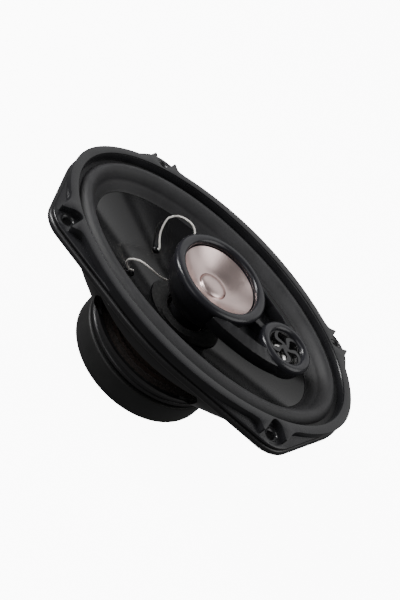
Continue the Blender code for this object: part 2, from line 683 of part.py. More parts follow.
def add_terminals(looks):
    """Connector block under the basket's end wall, blades and capacitor."""
    (low_x, _, low_z), (high_x, _, high_z) = FLARE[:2]
    slope = (high_z - low_z) / (high_x - low_x)
    top_in = low_z + slope * (72.0 - low_x) - 2 * GAP
    top_out = low_z + slope * (92.0 - low_x) - 2 * GAP
    side = [(-72.0, top_in), (-92.0, top_out), (-95.0, top_out - 2.0), (-95.0, 38.5), (-72.0, 38.5)]
    holder = loft("terminal_block", [[(x, y, z) for x, z in side] for y in (-14.0, 14.0)],
                  looks["connector"], closed=False)
    carve(holder, block("cut_lead_way", (TERMINAL_X - 2.4, -5.0, 30.0), (TERMINAL_X + 2.4, 5.0, 60.0)))
    for name, y, wide in (("positive", 9.4, 3.1), ("negative", -9.4, 2.4)):
        block(f"terminal_{name}", (-95.3 - 9.0, y - wide, 46.2), (-95.3, y + wide, 47.0), looks["brass"])
    turned("crossover_capacitor", [(0.0, 31.2), (5.0, 31.2), (5.4, 31.8), (5.4, 37.6), (5.0, 38.2),
                                   (0.0, 38.2)], looks["capacitor"], 24, TERMINAL_X - 8.0)


def main():
    """Empty the scene and build every piece."""
    for old in list(bpy.data.objects):
        bpy.data.objects.remove(old, do_unlink=True)
    black = (0.012, 0.012, 0.013)
    looks = {
        "basket": material("basket_black", (0.016, 0.016, 0.017), 0.42),
        "trim": material("trim_black", black, 0.22),
        "rubber": material("rubber", (0.022, 0.022, 0.024), 0.62),
        "cone": material("cone_black", (0.01, 0.01, 0.012), 0.12),
        "collar": material("collar_black", black, 0.5),
        "former": material("former_brown", (0.35, 0.17, 0.06), 0.35),
        "copper": material("copper", (0.72, 0.33, 0.16), 0.35, 1.0),
        "spider": material("spider_brown", (0.12, 0.05, 0.02), 0.85),
        "steel": material("steel", (0.45, 0.45, 0.47), 0.35, 1.0),
        "ferrite": material("ferrite", (0.05, 0.05, 0.055), 0.6),
        "boot": material("boot_black", (0.02, 0.02, 0.021), 0.5),
        "post": material("post_black", black, 0.35),
        "pod": material("pod_black", (0.014, 0.014, 0.016), 0.3),
        "bezel": material("bezel_black", (0.015, 0.015, 0.018), 0.18),
        "pink": material("pink_champagne", (0.66, 0.5, 0.47), 0.28, 0.9),
        "grille": material("grille_black", black, 0.3),
        "silver": material("silver", (0.8, 0.8, 0.8), 0.25, 1.0),
        "connector": material("connector_black", black, 0.5),
        "brass": material("brass", (0.75, 0.6, 0.3), 0.3, 1.0),
        "capacitor": material("capacitor_blue", (0.04, 0.06, 0.1), 0.4),
    }
    cone_axis = empty("woofer_axis")
    mid_axis = empty("mid_axis")
    tweeter_axis = empty("tweeter_axis", TWEETER_X)
    add_basket(looks["basket"])
    add_trim_ring(looks["trim"])
    add_surround(looks["rubber"])
    add_woofer(looks, cone_axis)
    add_spider(looks["spider"])
    add_motor(looks)
    add_post(looks)
    add_pod(looks)
    add_mid_range(looks, mid_axis)
    add_tweeter(looks, tweeter_axis)
    add_leads(looks["silver"])
    add_terminals(looks)


main()
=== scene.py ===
import math

import bmesh
import bpy
import numpy as np
from mathutils import Matrix, Vector


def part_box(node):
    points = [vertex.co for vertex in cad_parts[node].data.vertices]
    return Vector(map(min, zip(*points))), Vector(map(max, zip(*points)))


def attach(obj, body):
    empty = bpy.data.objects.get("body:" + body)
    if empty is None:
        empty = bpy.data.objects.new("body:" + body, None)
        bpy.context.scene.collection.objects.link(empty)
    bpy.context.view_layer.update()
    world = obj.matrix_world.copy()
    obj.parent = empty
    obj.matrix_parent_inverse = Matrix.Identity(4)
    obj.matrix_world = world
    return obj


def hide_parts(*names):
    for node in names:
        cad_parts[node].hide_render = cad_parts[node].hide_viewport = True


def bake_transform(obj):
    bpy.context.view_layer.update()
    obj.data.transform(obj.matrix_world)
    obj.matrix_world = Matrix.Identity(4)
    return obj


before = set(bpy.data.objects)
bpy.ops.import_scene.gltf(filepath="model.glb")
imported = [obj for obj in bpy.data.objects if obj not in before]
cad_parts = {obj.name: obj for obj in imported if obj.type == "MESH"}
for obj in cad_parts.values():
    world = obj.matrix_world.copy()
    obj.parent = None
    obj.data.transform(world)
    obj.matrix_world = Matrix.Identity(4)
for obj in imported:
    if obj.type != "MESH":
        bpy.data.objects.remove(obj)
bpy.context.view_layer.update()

MM = 0.001
TURN = 2 * math.pi
RIM_POINTS = 480
FLOOR_GLOW = 10.0
# How far the visual grille stands above its CAD node, in millimetres.
GRILLE_LIFT = 0.7


def edges(node):
    """Lowest and highest corner of a CAD node, in millimetres."""
    low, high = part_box(node)
    return low / MM, high / MM


# Places that several pieces share, read from the CAD nodes.
TRIM_LOW, TRIM_HIGH = edges("trim_ring")
FRAME_LOW, FRAME_HIGH = edges("basket")
CONE_HIGH = edges("cone")[1]
ROLL_HIGH = edges("surround")[1]
BOOT_HIGH = edges("magnet_boot")[1]
MID_LOW, MID_HIGH = edges("mid_bezel")
TWEETER_LOW, TWEETER_HIGH = edges("tweeter_bezel")
TWEETER_X = (TWEETER_LOW.x + TWEETER_HIGH.x) / 2
TWEETER_R = (TWEETER_HIGH.x - TWEETER_LOW.x) / 2
MID_R = MID_HIGH.x

# The lip's superellipse and the four screw bays.
LIP_POWER = 1.95
LIP_LAND = 6.2
SKIRT_FRONT = 82.0
SCREW = Vector((85.9, 58.9))
SCREW_HOLE_R = 3.0
EAR = Vector((80.3, 47.7))
EAR_R = 20.8
THORNS = [(95.2, 47.6, 3.2), (94.5, 57.9, 0.25), (93.5, 58.0, 0.25), (86.9, 51.3, 3.6), (80.4, 51.4, 3.6),
          (80.4, 65.4, 0.25), (79.4, 65.5, 0.25), (74.8, 61.9, 3.6)]

# The woofer's cone.
NECK_R = 15.3
NECK_Z = 50.0
CONE_FLARE = 1.25

# Where the leads leave the cone, and the way that the front ones take to the pod. LEAD_STARTS
# is how far off the cone their first points stand.
EYELETS = {"far": (-44.2, 17.2), "near": (-42.6, -21.0)}
LEAD_STARTS = {"far": (2.0, 3.8), "near": (2.2,)}
FRONT_ROUTES = {
    "far": [(-50.2, 23.2, 66.2), (-54.0, 30.0, 72.6), (-53.1, 32.6, 76.0), (-49.5, 35.0, 79.3),
            (-41.8, 32.5, 83.6), (-34.6, 30.0, 82.6), (-28.0, 22.0, 76.5), (-22.8, 13.6, 70.6)],
    "near": [(-44.6, -24.2, 63.2), (-47.4, -28.4, 68.4), (-46.6, -34.0, 76.6), (-41.4, -33.0, 80.4),
             (-34.3, -30.0, 79.9), (-27.4, -22.4, 75.0), (-22.8, -13.6, 70.6)],
}


# The camera, in metres and in the frame's axes, with its lens and sensor in millimetres.
CAMERA_PLACE = Vector((0.007346, -0.450910, 0.395373))
CAMERA_FORWARD = Vector((-0.039552, 0.789771, -0.612126))
CAMERA_UP = Vector((-0.723327, 0.400013, 0.562838))
CAMERA_SHIFT = (0.0611, 0.0038)
LENS = 51.75
SENSOR = 36.0


# ---------------------------------------------------------------- materials

def grained(name, colour, roughness, metallic=0.0, spread=0.12, grain=2500.0, depth=0.00002,
            mottle=60.0, tint=0.25, coat=0.0, sheen=0.0):
    """A surface whose colour, gloss and fine relief vary with two noises."""
    look = bpy.data.materials.new(name)
    look.use_nodes = True
    nodes, links = look.node_tree.nodes, look.node_tree.links
    shader = nodes["Principled BSDF"]
    place = nodes.new("ShaderNodeTexCoord").outputs["Object"]
    fine = nodes.new("ShaderNodeTexNoise")
    fine.inputs["Scale"].default_value = grain
    fine.inputs["Detail"].default_value = 3.0
    broad = nodes.new("ShaderNodeTexNoise")
    broad.inputs["Scale"].default_value = mottle
    broad.inputs["Detail"].default_value = 4.0
    for noise in (fine, broad):
        links.new(place, noise.inputs["Vector"])
    shade = nodes.new("ShaderNodeValToRGB")
    shade.color_ramp.elements[0].position = 0.3
    shade.color_ramp.elements[1].position = 0.7
    shade.color_ramp.elements[0].color = (*[c * (1 - tint) for c in colour], 1.0)
    shade.color_ramp.elements[1].color = (*[min(1.0, c * (1 + tint)) for c in colour], 1.0)
    links.new(broad.outputs["Fac"], shade.inputs["Fac"])
    links.new(shade.outputs["Color"], shader.inputs["Base Color"])
    gloss = nodes.new("ShaderNodeMapRange")
    gloss.inputs["To Min"].default_value = max(0.02, roughness - spread / 2)
    gloss.inputs["To Max"].default_value = roughness + spread / 2
    links.new(broad.outputs["Fac"], gloss.inputs["Value"])
    links.new(gloss.outputs["Result"], shader.inputs["Roughness"])
    relief = nodes.new("ShaderNodeBump")
    relief.inputs["Strength"].default_value = 1.0
    relief.inputs["Distance"].default_value = depth
    links.new(fine.outputs["Fac"], relief.inputs["Height"])
    links.new(relief.outputs["Normal"], shader.inputs["Normal"])
    shader.inputs["Metallic"].default_value = metallic
    shader.inputs["Coat Weight"].default_value = coat
    shader.inputs["Coat Roughness"].default_value = 0.06
    shader.inputs["Sheen Weight"].default_value = sheen
    return look


def ringed(name, colour, roughness, pitch, depth, metallic=1.0, x=0.0):
    """A turned or formed surface with fine rings about a vertical axis."""
    look = grained(name, colour, roughness, metallic, tint=0.12)
    nodes, links = look.node_tree.nodes, look.node_tree.links
    shader = nodes["Principled BSDF"]
    place = nodes.new("ShaderNodeTexCoord").outputs["Object"]
    shift = nodes.new("ShaderNodeMapping")
    shift.inputs["Location"].default_value = (-x * MM, 0.0, 0.0)
    rings = nodes.new("ShaderNodeTexWave")
    rings.wave_type = "RINGS"
    rings.rings_direction = "Z"
    rings.inputs["Scale"].default_value = 1.0 / (3.18 * pitch * MM) / 2
    rings.inputs["Distortion"].default_value = 0.6
    rings.inputs["Detail"].default_value = 1.0
    relief = nodes.new("ShaderNodeBump")
    relief.inputs["Distance"].default_value = depth
    links.new(place, shift.inputs["Vector"])
    links.new(shift.outputs["Vector"], rings.inputs["Vector"])
    links.new(rings.outputs["Fac"], relief.inputs["Height"])
    links.new(nodes["Bump"].outputs["Normal"], relief.inputs["Normal"])
    links.new(relief.outputs["Normal"], shader.inputs["Normal"])
    return look


def woven(name, colour, roughness, pitch, depth):
    """Cloth: two crossing waves raise its threads."""
    look = grained(name, colour, roughness, tint=0.35, sheen=0.2)
    nodes, links = look.node_tree.nodes, look.node_tree.links
    shader = nodes["Principled BSDF"]
    place = nodes.new("ShaderNodeTexCoord").outputs["Object"]
    threads = []
    for direction in ("X", "Y"):
        wave = nodes.new("ShaderNodeTexWave")
        wave.bands_direction = direction
        wave.inputs["Scale"].default_value = 1.0 / (3.18 * pitch * MM) / 2
        wave.inputs["Distortion"].default_value = 0.8
        links.new(place, wave.inputs["Vector"])
        threads.append(wave)
    cross = nodes.new("ShaderNodeMath")
    cross.operation = "MAXIMUM"
    for wave, slot in zip(threads, cross.inputs):
        links.new(wave.outputs["Fac"], slot)
    relief = nodes.new("ShaderNodeBump")
    relief.inputs["Distance"].default_value = depth
    links.new(cross.outputs["Value"], relief.inputs["Height"])
    links.new(nodes["Bump"].outputs["Normal"], relief.inputs["Normal"])
    links.new(relief.outputs["Normal"], shader.inputs["Normal"])
    return look


LOOKS = {
    "basket": grained("basket_paint", (0.018, 0.0175, 0.019), 0.36, depth=0.00003, coat=0.15),
    "trim": grained("trim_plastic", (0.016, 0.016, 0.018), 0.26, spread=0.08, depth=0.00001),
    "rubber": grained("butyl_rubber", (0.032, 0.032, 0.034), 0.56, grain=4000.0, depth=0.00002),
    "cone": grained("gloss_cone", (0.008, 0.008, 0.009), 0.17, spread=0.04, grain=300.0, depth=0.000003,
                    mottle=30.0),
    "collar": grained("felted_collar", (0.014, 0.014, 0.014), 0.85, grain=1600.0, depth=0.0004,
                      mottle=500.0, tint=0.6),
    "former": grained("dark_film", (0.05, 0.03, 0.02), 0.3),
    "copper": ringed("copper_wire", (0.72, 0.33, 0.16), 0.32, 0.25, 0.00008),
    "spider": woven("spider_cloth", (0.030, 0.017, 0.012), 0.85, 0.5, 0.00012),
    "steel": ringed("turned_steel", (0.38, 0.38, 0.40), 0.34, 0.5, 0.00002),
    "ferrite": grained("ferrite", (0.05, 0.05, 0.055), 0.6, depth=0.00006),
    "boot": grained("boot_rubber", (0.021, 0.021, 0.021), 0.5, spread=0.1, grain=3000.0, depth=0.00002),
    "post": grained("post_plastic", (0.012, 0.012, 0.013), 0.34),
    "pod": grained("pod_plastic", (0.014, 0.014, 0.016), 0.36, spread=0.08, depth=0.00001),
    "bezel": grained("satin_bezel", (0.016, 0.016, 0.020), 0.24, spread=0.05, depth=0.000004),
    "pink": ringed("champagne_metal", (0.80, 0.64, 0.61), 0.31, 0.35, 0.000004),
    "grille": grained("grille_plastic", (0.016, 0.016, 0.018), 0.2, spread=0.06, depth=0.000004),
    "silver": grained("bright_metal", (0.80, 0.79, 0.77), 0.2, 1.0, tint=0.08, depth=0.00001),
    "tinsel": grained("tinsel_braid", (0.93, 0.90, 0.85), 0.36, 0.15, tint=0.08, depth=0.00003),
    "glue": grained("black_glue", (0.010, 0.010, 0.011), 0.16, spread=0.1, grain=900.0, depth=0.00008),
    "connector": grained("connector_plastic", (0.014, 0.014, 0.015), 0.48, depth=0.00004),
    "brass": grained("tinned_brass", (0.72, 0.58, 0.32), 0.28, 1.0, tint=0.1),
    "capacitor": grained("capacitor_sleeve", (0.03, 0.05, 0.09), 0.36, tint=0.15),
}


# ---------------------------------------------------------------- mesh tools

def finished(name, bm, look, sharp=38.0):
    """Turn a bmesh in millimetres into a smooth-shaded object in metres."""
    bmesh.ops.remove_doubles(bm, verts=bm.verts, dist=1e-5)
    bmesh.ops.recalc_face_normals(bm, faces=bm.faces)
    bmesh.ops.scale(bm, verts=bm.verts, vec=(MM, MM, MM))
    mesh = bpy.data.meshes.new(name)
    bm.to_mesh(mesh)
    bm.free()
    mesh.shade_smooth()
    mesh.set_sharp_from_angle(angle=math.radians(sharp))
    if look:
        mesh.materials.append(LOOKS[look])
    made = bpy.data.objects.new(name, mesh)
    bpy.context.scene.collection.objects.link(made)
    return made


def skin(name, rings, look=None, closed=True):
    """Quads between rings; closed joins the last to the first, open is capped."""
    bm = bmesh.new()
    loops = [[bm.verts.new(point) for point in ring] for ring in rings]
    following = loops[1:] + loops[:1] if closed else loops[1:]
    for low, high in zip(loops, following):
        for i, vert in enumerate(low):
            j = (i + 1) % len(low)
            bm.faces.new((vert, low[j], high[j], high[i]))
    if not closed:
        bm.faces.new(loops[0])
        bm.faces.new(loops[-1])
    return finished(name, bm, look)


def turned(name, profile, look=None, steps=144, x=0.0):
    """Spin an (r, z) profile about a vertical axis; one off the axis is closed."""
    bm = bmesh.new()
    verts = [bm.verts.new((x + r, 0.0, z)) for r, z in profile]
    sides = [bm.edges.new(pair) for pair in zip(verts, verts[1:])]
    if min(r for r, z in profile) > 0:
        sides.append(bm.edges.new((verts[-1], verts[0])))
    bmesh.ops.spin(bm, geom=verts + sides, cent=(x, 0.0, 0.0), axis=(0.0, 0.0, 1.0),
                   angle=TURN, steps=steps, use_merge=True)
    return finished(name, bm, look)


def rounded(corners, closed=True, steps=5):
    """A flat outline whose (u, v, cut) corners are rounded off, starting cut away from each."""
    shape = []
    for i, (u, v, cut) in enumerate(corners):
        if cut <= 0 or (not closed and i in (0, len(corners) - 1)):
            shape.append((u, v))
            continue
        here = Vector((u, v))
        back = Vector(corners[i - 1][:2]) - here
        fore = Vector(corners[(i + 1) % len(corners)][:2]) - here
        start = here + back.normalized() * min(cut, 0.45 * back.length)
        end = here + fore.normalized() * min(cut, 0.45 * fore.length)
        for step in range(steps + 1):
            t = step / steps
            point = start * (1 - t) ** 2 + here * 2 * t * (1 - t) + end * t ** 2
            shape.append((point.x, point.y))
    return shape


def prism(name, outline, low, high, look=None):
    """A flat outline raised from low to high."""
    return skin(name, [[(x, y, z) for x, y in outline] for z in (low, high)], look, closed=False)


def combine(target, other, operation="DIFFERENCE", sharp=38.0):
    """Cut other out of target, or join it on, and remove other."""
    boolean = target.modifiers.new("combine", "BOOLEAN")
    boolean.operation = operation
    boolean.solver = "MANIFOLD"
    boolean.object = other
    bpy.context.view_layer.update()
    shaped = bpy.data.meshes.new_from_object(target.evaluated_get(bpy.context.evaluated_depsgraph_get()))
    target.modifiers.clear()
    target.data = shaped
    bpy.data.objects.remove(other, do_unlink=True)
    shaped.shade_smooth()
    shaped.set_sharp_from_angle(angle=math.radians(sharp))
    return target


def eased(piece, width, angle=40.0):
    """Round every sharp edge a little, so that it catches the light."""
    bevel = piece.modifiers.new("ease", "BEVEL")
    bevel.width = width * MM
    bevel.segments = 2
    bevel.limit_method = "ANGLE"
    bevel.angle_limit = math.radians(angle)
    bpy.context.view_layer.update()
    shaped = bpy.data.meshes.new_from_object(piece.evaluated_get(bpy.context.evaluated_depsgraph_get()))
    piece.modifiers.clear()
    piece.data = shaped
    shaped.shade_smooth()
    shaped.set_sharp_from_angle(angle=math.radians(50.0))
    return piece


def one_look(piece, look):
    """Give every face of a piece the same material."""
    piece.data.materials.clear()
    piece.data.materials.append(LOOKS[look])
    piece.data.polygons.foreach_set("material_index", [0] * len(piece.data.polygons))
    return piece


def stands_for(piece, body, slot, *nodes):
    """Put a piece on its body in place of CAD nodes."""
    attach(piece, body)
    if nodes:
        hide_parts(*nodes)
    return piece


def flexes(piece, weight, node):
    """Bake a piece's place into its mesh, work out a weight at each vertex, and hide its CAD node.

    The piece lies between the frame and a moving body, and these rings stretch outwards from the
    middle on every side; the weights are not used.
    """
    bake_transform(piece)
    shares = [weight(vert.co / MM) for vert in piece.data.vertices]
    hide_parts(node)
    return piece


# ---------------------------------------------------------------- outlines

def even_angles(count=RIM_POINTS):
    """Angles of one turn, evenly spaced."""
    return [TURN * step / count for step in range(count)]


def oval(half_length, half_width, z, power=2.0, angles=None):
    """A superellipse ring, with its points by ellipse angle."""
    ring = []
    for a in angles or even_angles():
        along = math.copysign(abs(math.cos(a)) ** (2 / power), math.cos(a))
        across = math.copysign(abs(math.sin(a)) ** (2 / power), math.sin(a))
        ring.append((half_length * along, half_width * across, z))
    return ring


def lip(inset, z):
    """The lip's outline, moved in by inset."""
    return oval(TRIM_HIGH.x - inset, TRIM_HIGH.y - inset, z, LIP_POWER)


def mouth(outset, z):
    """The lip's inner edge, moved out by outset."""
    return oval(TRIM_HIGH.x - LIP_LAND + outset, TRIM_HIGH.y - LIP_LAND + outset, z)


def small_circle(r, x, y, count=48):
    """Flat points of a circle about (x, y)."""
    return [(x + r * math.cos(a), y + r * math.sin(a)) for a in even_angles(count)]


def hull(points):
    """Convex outline of flat points, counter-clockwise."""
    def half(ordered):
        chain = []
        for p in ordered:
            while len(chain) > 1:
                (ax, ay), (bx, by) = chain[-2], chain[-1]
                if (bx - ax) * (p[1] - ay) - (by - ay) * (p[0] - ax) > 0:
                    break
                chain.pop()
            chain.append(p)
        return chain[:-1]
    points = sorted(set(points))
    return half(points) + half(points[::-1])


def eared(inset, z):
    """The lip's outline drawn out around the four screw ears."""
    points = [(x, y) for x, y, _ in lip(inset, z)]
    for sx in (-1, 1):
        for sy in (-1, 1):
            points += small_circle(EAR_R - inset, sx * EAR.x, sy * EAR.y, 160)
    corner = np.array(hull(points))
    side = np.roll(corner, -1, axis=0) - corner
    outward = np.stack([side[:, 1], -side[:, 0]], axis=1)
    level = np.sum(outward * corner, axis=1)
    ring = []
    for x, y, _ in lip(inset, z):
        ray = np.array((x, y)) / math.hypot(x, y)
        facing = outward @ ray
        away = np.min(level[facing > 1e-9] / facing[facing > 1e-9])
        ring.append((ray[0] * away, ray[1] * away, z))
    return ring


def screw_places():
    """The centres of the four screw holes."""
    return [(sx, sy) for sx in (-1, 1) for sy in (-1, 1)]


# ---------------------------------------------------------------- frame and trim

def add_basket():
    """Pressed frame: floor, grooved ring, flared wall with two windows, flange."""
    wall = 2.2
    floor_r, floor_z = 24.0, FRAME_LOW.z
    ring_r = BOOT_HIGH.x - 0.2
    flare = [(76.0, 60.5, 44.8), (87.5, 64.2, 51.4), (98.0, 67.5, 58.0), (105.0, 69.5, 66.0)]
    rings = [oval(r, r, z) for r, z in (
        (floor_r, floor_z), (ring_r - 1.2, floor_z), (ring_r - 0.4, floor_z + 0.2), (ring_r, floor_z + 0.7),
        (ring_r, floor_z + 2.1), (ring_r - 0.3, floor_z + 2.5), (ring_r - 1.0, floor_z + 2.9),
        (ring_r - 1.0, floor_z + 5.4), (ring_r - 0.3, floor_z + 5.9), (ring_r, floor_z + 6.3),
        (ring_r, floor_z + 8.1))]
    rings += [oval(ring_r + 5.2, ring_r + 1.4, floor_z + 11.4)]
    rings += [oval(a, b, z) for a, b, z in flare]
    back, front = 75.0, FRAME_HIGH.z
    rings += [oval(107.0, 70.0, back - 1.2), oval(107.8, 70.8, back), eared(0.9, back),
              eared(-0.2, back + 0.3), eared(-0.7, back + 0.9), eared(-0.8, back + 1.7),
              eared(-0.6, front - 1.2), eared(-0.1, front - 0.5), eared(0.8, front),
              oval(107.0 - wall, 70.0 - wall, front)]
    rings += [oval(a - wall, b - wall, z + 0.5) for a, b, z in reversed(flare)]
    ledge = 30.0
    rings += [oval(ring_r + 5.2 - wall, ring_r + 1.4 - wall, floor_z + 11.8)]
    rings += [oval(r, r, z) for r, z in (
        (ring_r - wall, floor_z + 8.6), (ring_r - wall, ledge + 0.1), (ring_r - wall - 0.1, ledge),
        (46.6, ledge), (46.2, ledge - 0.3), (46.2, floor_z + 2.6), (45.6, floor_z + 2.0),
        (floor_r, floor_z + 2.0))]
    basket = skin("basket_shell", rings, "basket")
    for side in (-1, 1):
        combine(basket, window_cutter(side))
    for sx, sy in screw_places():
        hole = small_circle(SCREW_HOLE_R, sx * SCREW.x, sy * SCREW.y)
        combine(basket, prism("hole", hole, back - 2, front + 2))
    combine(basket, prism("lead_slot", [(-85, -7), (-77, -7), (-77, 7), (-85, 7)], 36, 60))
    stands_for(one_look(basket, "basket"), "frame", "basket", "basket")


def window_cutter(side):
    """One long-side window, round at its ends, with its front edge dipping in the middle."""
    half, back, front, dip = 44.0, 32.4, 64.0, 5.5
    corners = [(half - 6, back, 3.0), (half - 1.5, back + 5, 3.0), (half, front - 3.5, 3.0)]
    steps = 16
    for step in range(steps + 1):
        x = (half - 3) * (1 - 2 * step / steps)
        corners.append((x, front - dip * (1 - (x / (half - 3)) ** 2), 0.0))
    corners += [(-half, front - 3.5, 3.0), (1.5 - half, back + 5, 3.0), (6 - half, back, 3.0)]
    outline = rounded(corners)
    return skin("window", [[(x, side * y, z) for x, z in outline] for y in (26.0, 90.0)], closed=False)


def lip_point(x):
    """The lip's outline over an x in the +X +Y quarter."""
    share = (1 - (x / TRIM_HIGH.x) ** LIP_POWER) ** (1 / LIP_POWER)
    return Vector((x, TRIM_HIGH.y * share))


def toothed_quarter():
    """The lip's outline in the +X +Y quarter, with two thorns and the screw bay between them."""
    first, last = 98.0, 69.0
    start, end = lip_point(first), lip_point(last)
    thorns = rounded([(start.x, start.y, 0.0)] + THORNS + [(end.x, end.y, 0.0)], closed=False, steps=10)
    points = [(x, y) for x, y, _ in oval(TRIM_HIGH.x, TRIM_HIGH.y, 0.0, LIP_POWER)]
    quarter = [p for p in points if p[0] >= -1e-9 and p[1] >= -1e-9]
    before = [p for p in quarter if p[0] > first + 0.3]
    after = [p for p in quarter if p[0] < last - 0.3]
    return before + thorns + after


def toothed():
    """The whole toothed outline, counter-clockwise."""
    quarter = toothed_quarter()
    outline = quarter[:-1] + [(-x, y) for x, y in quarter[::-1]][:-1]
    return outline + [(-x, -y) for x, y in outline]


def lip_body():
    """The raised lip: the toothed outline with the oval mouth left out."""
    bm = bmesh.new()
    for outline in (toothed(), [(x, y) for x, y, _ in mouth(0.0, 0.0)]):
        verts = [bm.verts.new((x, y, SKIRT_FRONT - 0.5)) for x, y in outline]
        for pair in zip(verts, verts[1:] + verts[:1]):
            bm.edges.new(pair)
    bmesh.ops.triangle_fill(bm, use_beauty=True, edges=bm.edges[:])
    raised = bmesh.ops.extrude_face_region(bm, geom=bm.faces[:])
    top = [vert for vert in raised["geom"] if isinstance(vert, bmesh.types.BMVert)]
    bmesh.ops.translate(bm, verts=top, vec=(0.0, 0.0, TRIM_HIGH.z - SKIRT_FRONT + 0.5))
    return finished("trim_ring_body", bm, "trim", 30.0)


def add_trim_ring():
    """Skirt over the ears with the lip's inner wall, and the toothed lip on it."""
    foot = TRIM_LOW.z
    rings = [eared(1.6, foot), eared(1.2, foot + 0.5), eared(0.4, foot + 0.9), eared(0.3, SKIRT_FRONT - 0.8),
             eared(0.5, SKIRT_FRONT - 0.3), eared(1.0, SKIRT_FRONT), lip(2.2, SKIRT_FRONT),
             mouth(0.5, SKIRT_FRONT + 0.4), mouth(0.4, TRIM_HIGH.z - 0.9), mouth(-0.2, TRIM_HIGH.z - 0.75),
             mouth(-0.5, TRIM_HIGH.z - 1.4), mouth(-1.2, 82.2), mouth(-1.3, 81.5), mouth(-1.3, 81.2),
             mouth(0.4, 81.1), mouth(0.4, foot)]
    trim = skin("trim_ring_shell", rings, "trim")
    for sx, sy in screw_places():
        hole = small_circle(SCREW_HOLE_R, sx * SCREW.x, sy * SCREW.y)
        combine(trim, prism("hole", hole, foot - 2, SKIRT_FRONT + 0.4))
    combine(trim, lip_body(), "UNION", 32.0)
    for sx, sy in screw_places():
        sink = turned("sink", [(0.0, SKIRT_FRONT - 1.1), (3.5, SKIRT_FRONT - 1.1), (4.7, SKIRT_FRONT - 0.3),
                               (5.0, SKIRT_FRONT + 0.6), (0.0, SKIRT_FRONT + 0.6)], None, 48)
        sink.data.transform(Matrix.Translation((sx * SCREW.x * MM, sy * SCREW.y * MM, 0.0)))
        combine(trim, sink, "DIFFERENCE", 32.0)
    eased(one_look(trim, "trim"), 0.3)
    stands_for(trim, "frame", "trim", "trim_ring")


# ---------------------------------------------------------------- woofer

def roll_profile():
    """(share, height) of the half roll from its outer foot to its inner valley."""
    steps = 28
    for step in range(steps + 1):
        share = step / steps
        yield share, math.sin(math.pi * share) ** 0.8


def add_surround():
    """Rim under the trim ring, half roll, and flat skirt down to the cone's edge."""
    outer, inner = (108.2, 69.3), (97.0, 55.5)
    foot, valley, crown = 80.6, 78.0, ROLL_HIGH.z
    thick = 0.9
    rim_z = ROLL_HIGH.z - 4.1

    def rolled(lift):
        rings = []
        for share, swell in roll_profile():
            a = outer[0] + (inner[0] - outer[0]) * share
            b = outer[1] + (inner[1] - outer[1]) * share
            base = foot + (valley - foot) * share
            rings.append(oval(a, b, base + (crown - (foot + valley) / 2) * swell + lift))
        return rings

    def skirt(lift):
        """The flat band inside the roll, eased into the valley and into the cone's edge."""
        rings = []
        for a, b, z in ((96.0, 54.7, 77.2), (94.9, 53.8, 76.1), (92.6, 51.7, 73.4), (91.8, 51.0, 72.5)):
            rings.append(oval(a, b, z + lift))
        return rings

    edge = (CONE_HIGH.x + 0.3, CONE_HIGH.y + 0.3)
    rim = (ROLL_HIGH.x, ROLL_HIGH.y)
    rings = [oval(*rim, rim_z)] + rolled(0.0) + skirt(0.0) + [oval(*edge, CONE_HIGH.z + 0.2)]
    rings += [oval(*edge, CONE_HIGH.z - thick)] + skirt(-thick)[::-1] + rolled(-thick)[::-1]
    rings += [oval(*rim, rim_z - thick)]
    roll = skin("surround_roll", rings, "rubber")

    def weight(place):
        """None at the rim, all at the cone's edge, by how far across the roll a point lies."""
        inner_r = math.hypot(place.x / edge[0], place.y / edge[1])
        outer_r = math.hypot(place.x / outer[0], place.y / outer[1])
        share = (1 - outer_r) / max(1e-6, (1 - outer_r) + (inner_r - 1))
        share = min(1.0, max(0.0, share))
        return share * share * (3 - 2 * share)

    flexes(roll, weight, "surround")


def cone_ring(share, lift=0.0):
    """The cone's front surface between neck (0) and edge (1)."""
    half_length = NECK_R + (CONE_HIGH.x - NECK_R) * share
    half_width = NECK_R + (CONE_HIGH.y - NECK_R) * share
    rise = (CONE_HIGH.z - NECK_Z) * share ** CONE_FLARE
    return oval(half_length, half_width, NECK_Z + rise + lift)


def cone_height(x, y):
    """Height of the cone's front surface over a point."""
    low, high = 0.0, 1.0
    for _ in range(40):
        share = (low + high) / 2
        half_length = NECK_R + (CONE_HIGH.x - NECK_R) * share
        half_width = NECK_R + (CONE_HIGH.y - NECK_R) * share
        if (x / half_length) ** 2 + (y / half_width) ** 2 > 1:
            low = share
        else:
            high = share
    return NECK_Z + (CONE_HIGH.z - NECK_Z) * low ** CONE_FLARE


def cone_normal(x, y):
    """Unit normal of the cone's front surface."""
    step = 0.5
    slope_x = (cone_height(x + step, y) - cone_height(x - step, y)) / (2 * step)
    slope_y = (cone_height(x, y + step) - cone_height(x, y - step)) / (2 * step)
    return Vector((-slope_x, -slope_y, 1.0)).normalized()


def off_cone(place, height):
    """A point that far off the cone's front surface, along its normal."""
    x, y = place
    return Vector((x, y, cone_height(x, y))) + cone_normal(x, y) * height


